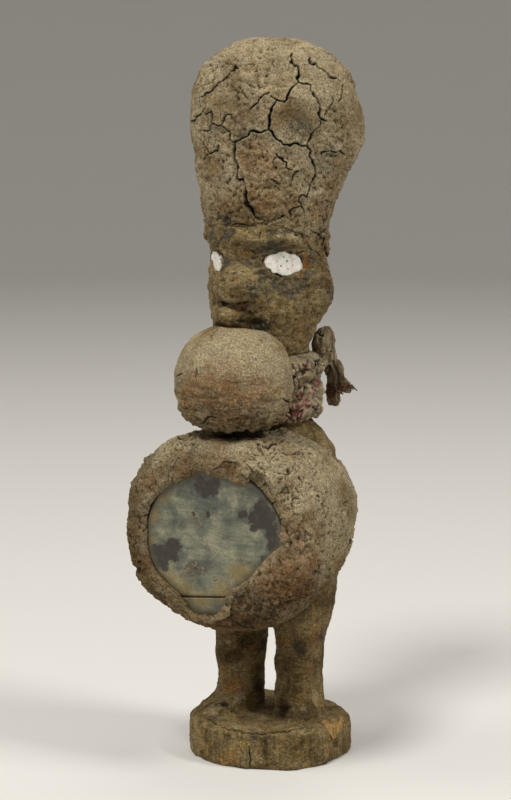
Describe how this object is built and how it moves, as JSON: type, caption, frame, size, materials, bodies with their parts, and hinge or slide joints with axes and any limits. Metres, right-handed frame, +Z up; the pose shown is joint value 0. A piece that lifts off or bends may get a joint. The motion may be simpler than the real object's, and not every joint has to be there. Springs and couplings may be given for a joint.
{
  "type": "power figure",
  "caption": "Small standing carved wooden figure with a packed resin cap, a chin ball and a round glass set in a drum on its belly.",
  "frame": {"origin": "middle of the underside of the round wooden base", "axes": "+Z up through the figure, which faces -Y and has its own left at +X"},
  "size_m": [0.072, 0.079, 0.24],
  "materials": {
    "wood": "old carved wood, matt, dusty, darkened about the face",
    "packing": "dry packed earth and resin, pitted and cracked",
    "belly_glass": "old backed glass with lost silvering, smooth",
    "eye_inlay": "white, slightly glossy, specked",
    "cloth": "old cotton stiffened with resin and dust, stained red"
  },
  "bodies": {
    "root": {"carved_figure": "wood", "left_eye": "eye_inlay", "right_eye": "eye_inlay", "head_cap": "packing", "chin_ball": "packing", "belly_drum": "packing", "belly_glass": "belly_glass", "glass_shard": "belly_glass", "neck_cloth": "cloth", "knotted_strip": "cloth"}
  },
  "joints": []
}
